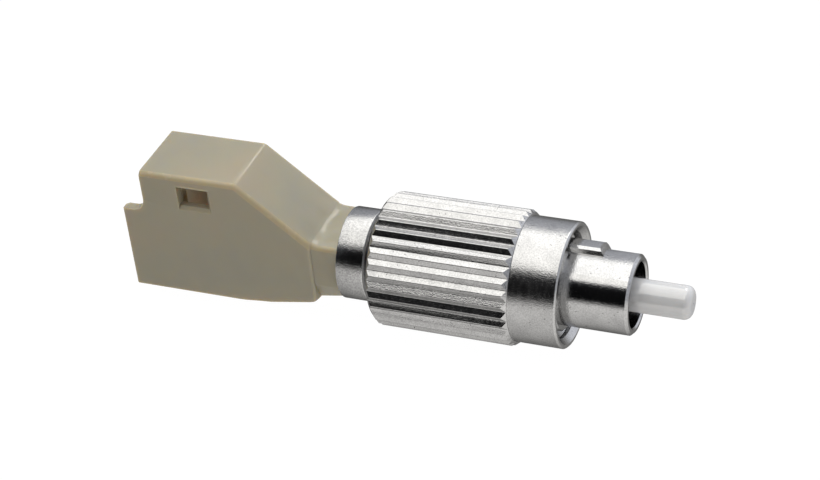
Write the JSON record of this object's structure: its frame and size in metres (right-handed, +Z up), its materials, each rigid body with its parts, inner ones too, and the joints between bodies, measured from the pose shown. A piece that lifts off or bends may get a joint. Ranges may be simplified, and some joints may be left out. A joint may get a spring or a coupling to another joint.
{
  "type": "fibre tester adapter",
  "caption": "Fibre tester adapter: sprung ferrule in a keyed barrel with a knurled coupling nut, joined to a moulded latched-plug socket.",
  "frame": {"origin": "centre of the plug barrel's rim, on the light path", "axes": "+X along the light path, out of the barrel past the large ferrule; +Z up, the latch side of the socket"},
  "size_m": [0.0437, 0.0102, 0.012],
  "materials": {
    "port_plastic": "satin moulded, slightly translucent beige",
    "holder_plastic": "satin moulded beige",
    "zirconia": "ground and polished white",
    "nickel_plate": "turned brass with bright nickel plate",
    "holder_metal": "turned brass with nickel plate",
    "spring_steel": "drawn stainless spring steel",
    "fibre_glass": "clear"
  },
  "bodies": {
    "adapter_body": {"lc_housing": "port_plastic", "sleeve_holder": "holder_plastic", "split_sleeve": "zirconia", "rear_barrel": "nickel_plate", "front_body": "nickel_plate", "ferrule_spring": "spring_steel"},
    "ferrule_stub": {"large_ferrule": "zirconia", "small_ferrule": "zirconia", "ferrule_holder": "holder_metal", "fibre": "fibre_glass"},
    "clip": {"nut_clip": "spring_steel"},
    "nut": {"coupling_nut": "nickel_plate"}
  },
  "joints": [
    {"name": "ferrule_float", "type": "slide", "parent": "adapter_body", "child": "ferrule_stub", "axis": [1, 0, 0], "range_m": [-0.001, 0], "stiffness_N_per_m": 2500, "springref_m": 0.003, "deforming": ["ferrule_spring"]},
    {"name": "nut_slide", "type": "slide", "parent": "adapter_body", "child": "clip", "axis": [1, 0, 0], "range_m": [-0.0025, 0.0035]},
    {"name": "nut_spin", "type": "hinge", "parent": "clip", "child": "nut", "pos_m": [-0.012, 0, 0], "axis": [1, 0, 0], "continuous": true}
  ]
}
